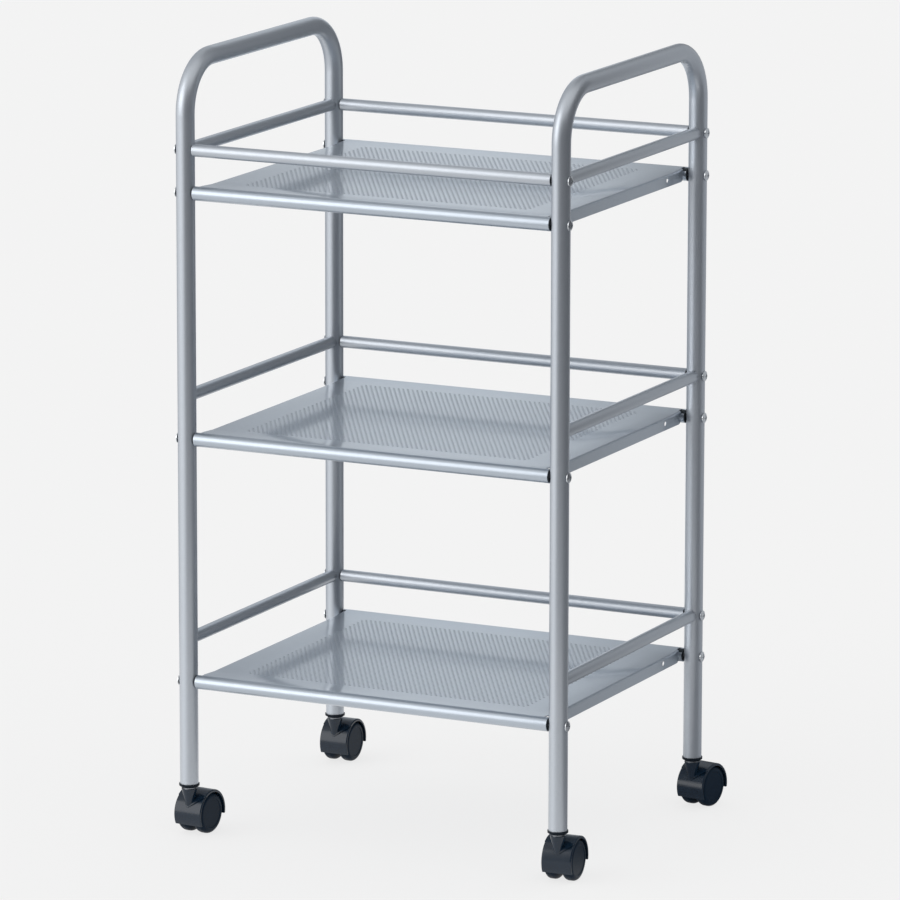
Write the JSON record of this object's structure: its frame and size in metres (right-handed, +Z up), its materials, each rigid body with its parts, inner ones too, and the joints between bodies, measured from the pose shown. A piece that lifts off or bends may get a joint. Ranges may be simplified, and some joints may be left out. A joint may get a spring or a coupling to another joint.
{
  "type": "utility cart",
  "caption": "Silver steel utility cart with perforated shelves, tube rails, a push handle at each end and black twin-wheel swivel casters.",
  "frame": {"origin": "on the floor, at the middle of the overall width and length", "axes": "+X to the right end frame, +Y to the rear, +Z up; the front is the side with the single top rail"},
  "size_m": [0.4287, 0.3613, 0.762],
  "materials": {
    "frame_paint": "satin silver powder coat on steel tube",
    "shelf_sheet": "satin silver powder coat on perforated sheet steel",
    "screw_zinc": "bright zinc plate",
    "steel_pin": "drawn steel",
    "plug_nylon": "moulded black nylon",
    "socket_plastic": "moulded black polypropylene",
    "caster_plastic": "moulded black nylon, fine satin",
    "wheel_plastic": "moulded black nylon"
  },
  "bodies": {
    "cart": {"left_end_frame": "frame_paint", "right_end_frame": "frame_paint", "left_bottom_cross_bar": "frame_paint", "left_middle_cross_bar": "frame_paint", "left_top_cross_bar": "frame_paint", "right_bottom_cross_bar": "frame_paint", "right_middle_cross_bar": "frame_paint", "right_top_cross_bar": "frame_paint", "front_top_rail": "frame_paint", "rear_top_rail": "frame_paint", "rear_middle_rail": "frame_paint", "rear_bottom_rail": "frame_paint", "bottom_shelf": "shelf_sheet", "middle_shelf": "shelf_sheet", "top_shelf": "shelf_sheet", "rail_screws": "screw_zinc", "shelf_screws": "screw_zinc", "rail_plugs": "plug_nylon", "shelf_plugs": "plug_nylon", "front_left_caster_socket": "socket_plastic", "front_right_caster_socket": "socket_plastic", "rear_left_caster_socket": "socket_plastic", "rear_right_caster_socket": "socket_plastic"},
    "front_left_caster": {"front_left_caster_hood": "caster_plastic", "front_left_caster_stem": "steel_pin", "front_left_caster_axle": "steel_pin"},
    "front_left_left_wheel": {"front_left_caster_left_wheel": "wheel_plastic"},
    "front_left_right_wheel": {"front_left_caster_right_wheel": "wheel_plastic"},
    "front_right_caster": {"front_right_caster_hood": "caster_plastic", "front_right_caster_stem": "steel_pin", "front_right_caster_axle": "steel_pin"},
    "front_right_left_wheel": {"front_right_caster_left_wheel": "wheel_plastic"},
    "front_right_right_wheel": {"front_right_caster_right_wheel": "wheel_plastic"},
    "rear_left_caster": {"rear_left_caster_hood": "caster_plastic", "rear_left_caster_stem": "steel_pin", "rear_left_caster_axle": "steel_pin"},
    "rear_left_left_wheel": {"rear_left_caster_left_wheel": "wheel_plastic"},
    "rear_left_right_wheel": {"rear_left_caster_right_wheel": "wheel_plastic"},
    "rear_right_caster": {"rear_right_caster_hood": "caster_plastic", "rear_right_caster_stem": "steel_pin", "rear_right_caster_axle": "steel_pin"},
    "rear_right_left_wheel": {"rear_right_caster_left_wheel": "wheel_plastic"},
    "rear_right_right_wheel": {"rear_right_caster_right_wheel": "wheel_plastic"}
  },
  "joints": [
    {"name": "front_left_swivel", "type": "hinge", "parent": "cart", "child": "front_left_caster", "pos_m": [-0.196, -0.1699, 0], "axis": [0, 0, 1], "continuous": true},
    {"name": "front_left_left_wheel_spin", "type": "hinge", "parent": "front_left_caster", "child": "front_left_left_wheel", "pos_m": [-0.19448, -0.15247, 0.02], "axis": [0.9962, -0.0872, 0], "continuous": true},
    {"name": "front_left_right_wheel_spin", "type": "hinge", "parent": "front_left_caster", "child": "front_left_right_wheel", "pos_m": [-0.19448, -0.15247, 0.02], "axis": [0.9962, -0.0872, 0], "continuous": true},
    {"name": "front_right_swivel", "type": "hinge", "parent": "cart", "child": "front_right_caster", "pos_m": [0.196, -0.1699, 0], "axis": [0, 0, 1], "continuous": true},
    {"name": "front_right_left_wheel_spin", "type": "hinge", "parent": "front_right_caster", "child": "front_right_left_wheel", "pos_m": [0.19508, -0.15242, 0.02], "axis": [0.9986, 0.0523, 0], "continuous": true},
    {"name": "front_right_right_wheel_spin", "type": "hinge", "parent": "front_right_caster", "child": "front_right_right_wheel", "pos_m": [0.19508, -0.15242, 0.02], "axis": [0.9986, 0.0523, 0], "continuous": true},
    {"name": "rear_left_swivel", "type": "hinge", "parent": "cart", "child": "rear_left_caster", "pos_m": [-0.196, 0.1391, 0], "axis": [0, 0, 1], "continuous": true},
    {"name": "rear_left_left_wheel_spin", "type": "hinge", "parent": "rear_left_caster", "child": "rear_left_left_wheel", "pos_m": [-0.19615, 0.1566, 0.02], "axis": [1, 0.0087, 0], "continuous": true},
    {"name": "rear_left_right_wheel_spin", "type": "hinge", "parent": "rear_left_caster", "child": "rear_left_right_wheel", "pos_m": [-0.19615, 0.1566, 0.02], "axis": [1, 0.0087, 0], "continuous": true},
    {"name": "rear_right_swivel", "type": "hinge", "parent": "cart", "child": "rear_right_caster", "pos_m": [0.196, 0.1391, 0], "axis": [0, 0, 1], "continuous": true},
    {"name": "rear_right_left_wheel_spin", "type": "hinge", "parent": "rear_right_caster", "child": "rear_right_left_wheel", "pos_m": [0.19874, 0.15638, 0.02], "axis": [0.9877, -0.1564, 0], "continuous": true},
    {"name": "rear_right_right_wheel_spin", "type": "hinge", "parent": "rear_right_caster", "child": "rear_right_right_wheel", "pos_m": [0.19874, 0.15638, 0.02], "axis": [0.9877, -0.1564, 0], "continuous": true}
  ]
}
